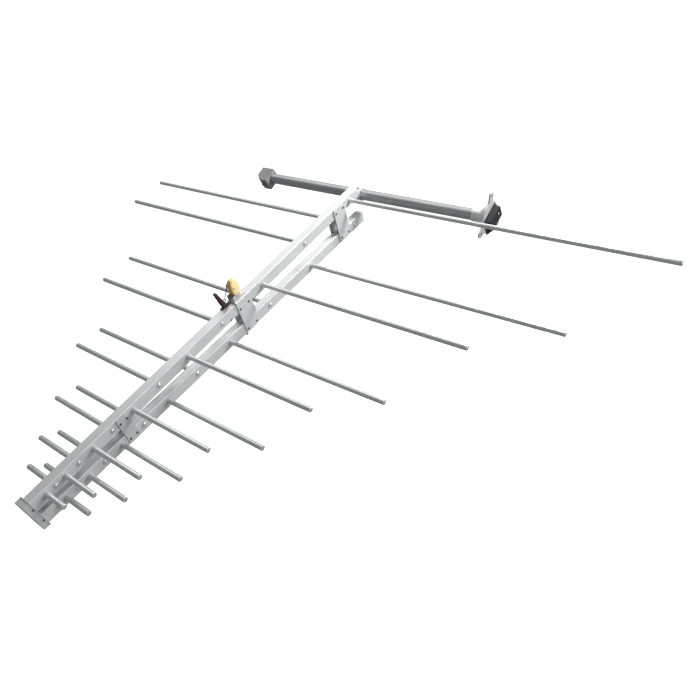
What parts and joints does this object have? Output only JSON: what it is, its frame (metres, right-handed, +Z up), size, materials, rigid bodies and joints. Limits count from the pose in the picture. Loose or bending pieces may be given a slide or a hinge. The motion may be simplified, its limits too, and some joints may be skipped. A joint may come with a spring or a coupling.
{
  "type": "folding log-periodic antenna",
  "caption": "Log-periodic antenna with twin booms, tapered rod elements, a folding joint with a draw latch, and a flanged cross tube.",
  "frame": {"origin": "on the cross tube's axis, in the plane of the mast flange's seat face", "axes": "X along the elements and the cross tube, pointing out of the flange's face; Y along the booms from the nose to the rear; Z up"},
  "size_m": [1.422, 0.9922, 0.1272],
  "materials": {
    "boom_aluminium": "extruded, faintly brushed along its length, clear",
    "element_aluminium": "drawn rod, satin",
    "tube_aluminium": "grey lacquer, satin",
    "grey_plastic": "moulded, fine texture",
    "zinc_steel": "zinc plated",
    "bronzed_steel": "dark bronze, worn at the edges",
    "yellow_plastic": "moulded, satin",
    "cast_aluminium": "cast light alloy, blasted",
    "black_plastic": "moulded, ribbed",
    "brass": "bright, lightly tarnished",
    "cable_jacket": "matt jacket"
  },
  "bodies": {
    "root": {"cross_tube": "tube_aluminium", "feed_cable_tube": "cable_jacket", "end_housing": "cast_aluminium", "housing_cover": "cast_aluminium", "signal_connector": "brass", "mast_flange": "cast_aluminium", "contact_block": "black_plastic", "contact_pin": "brass"},
    "rear_section": {"upper_boom_rear": "boom_aluminium", "lower_boom_rear": "boom_aluminium", "element_11_right": "element_aluminium", "element_12_right": "element_aluminium", "element_13_right": "element_aluminium", "element_11_left": "element_aluminium", "element_12_left": "element_aluminium", "element_13_left": "element_aluminium", "rear_spreader_right": "grey_plastic", "rear_spreader_left": "grey_plastic", "joint_bracket": "boom_aluminium", "hinge_leaf_rear": "zinc_steel", "hinge_pin": "zinc_steel", "latch_base": "zinc_steel", "latch_lever_pin": "zinc_steel", "feed_cable_rear": "cable_jacket", "lower_boom_end_plug": "grey_plastic", "tube_saddle": "cast_aluminium", "saddle_bolt": "zinc_steel"},
    "front_section": {"upper_boom_front": "boom_aluminium", "lower_boom_front": "boom_aluminium", "element_01_right": "element_aluminium", "element_02_right": "element_aluminium", "element_03_right": "element_aluminium", "element_04_right": "element_aluminium", "element_05_right": "element_aluminium", "element_06_right": "element_aluminium", "element_07_right": "element_aluminium", "element_08_right": "element_aluminium", "element_09_right": "element_aluminium", "element_10_right": "element_aluminium", "element_01_left": "element_aluminium", "element_02_left": "element_aluminium", "element_03_left": "element_aluminium", "element_04_left": "element_aluminium", "element_05_left": "element_aluminium", "element_06_left": "element_aluminium", "element_07_left": "element_aluminium", "element_08_left": "element_aluminium", "element_09_left": "element_aluminium", "element_10_left": "element_aluminium", "nose_cap": "grey_plastic", "feed_pin": "brass", "front_spreader_right": "grey_plastic", "front_spreader_left": "grey_plastic", "hinge_leaf_front": "zinc_steel", "latch_catch": "bronzed_steel", "feed_cable_front": "cable_jacket"},
    "lever": {"latch_lever": "zinc_steel", "latch_grip": "yellow_plastic", "latch_link_pin": "zinc_steel"},
    "link": {"latch_link": "bronzed_steel"}
  },
  "joints": [
    {"name": "boom_tilt", "type": "hinge", "parent": "root", "child": "rear_section", "pos_m": [-0.335, 0, 0], "axis": [1, 0, 0], "range_deg": [-70, 15]},
    {"name": "boom_fold", "type": "hinge", "parent": "rear_section", "child": "front_section", "pos_m": [-0.335, -0.4475, -0.05876], "axis": [1, 0, 0], "range_deg": [0, 175]},
    {"name": "latch_lever_turn", "type": "hinge", "parent": "rear_section", "child": "lever", "pos_m": [-0.337, -0.4315, 0.03136], "axis": [1, 0, 0], "range_deg": [-8, 40]},
    {"name": "latch_link_turn", "type": "hinge", "parent": "lever", "child": "link", "pos_m": [-0.337, -0.4315, 0.04886], "axis": [1, 0, 0], "range_deg": [-30, 40]}
  ]
}
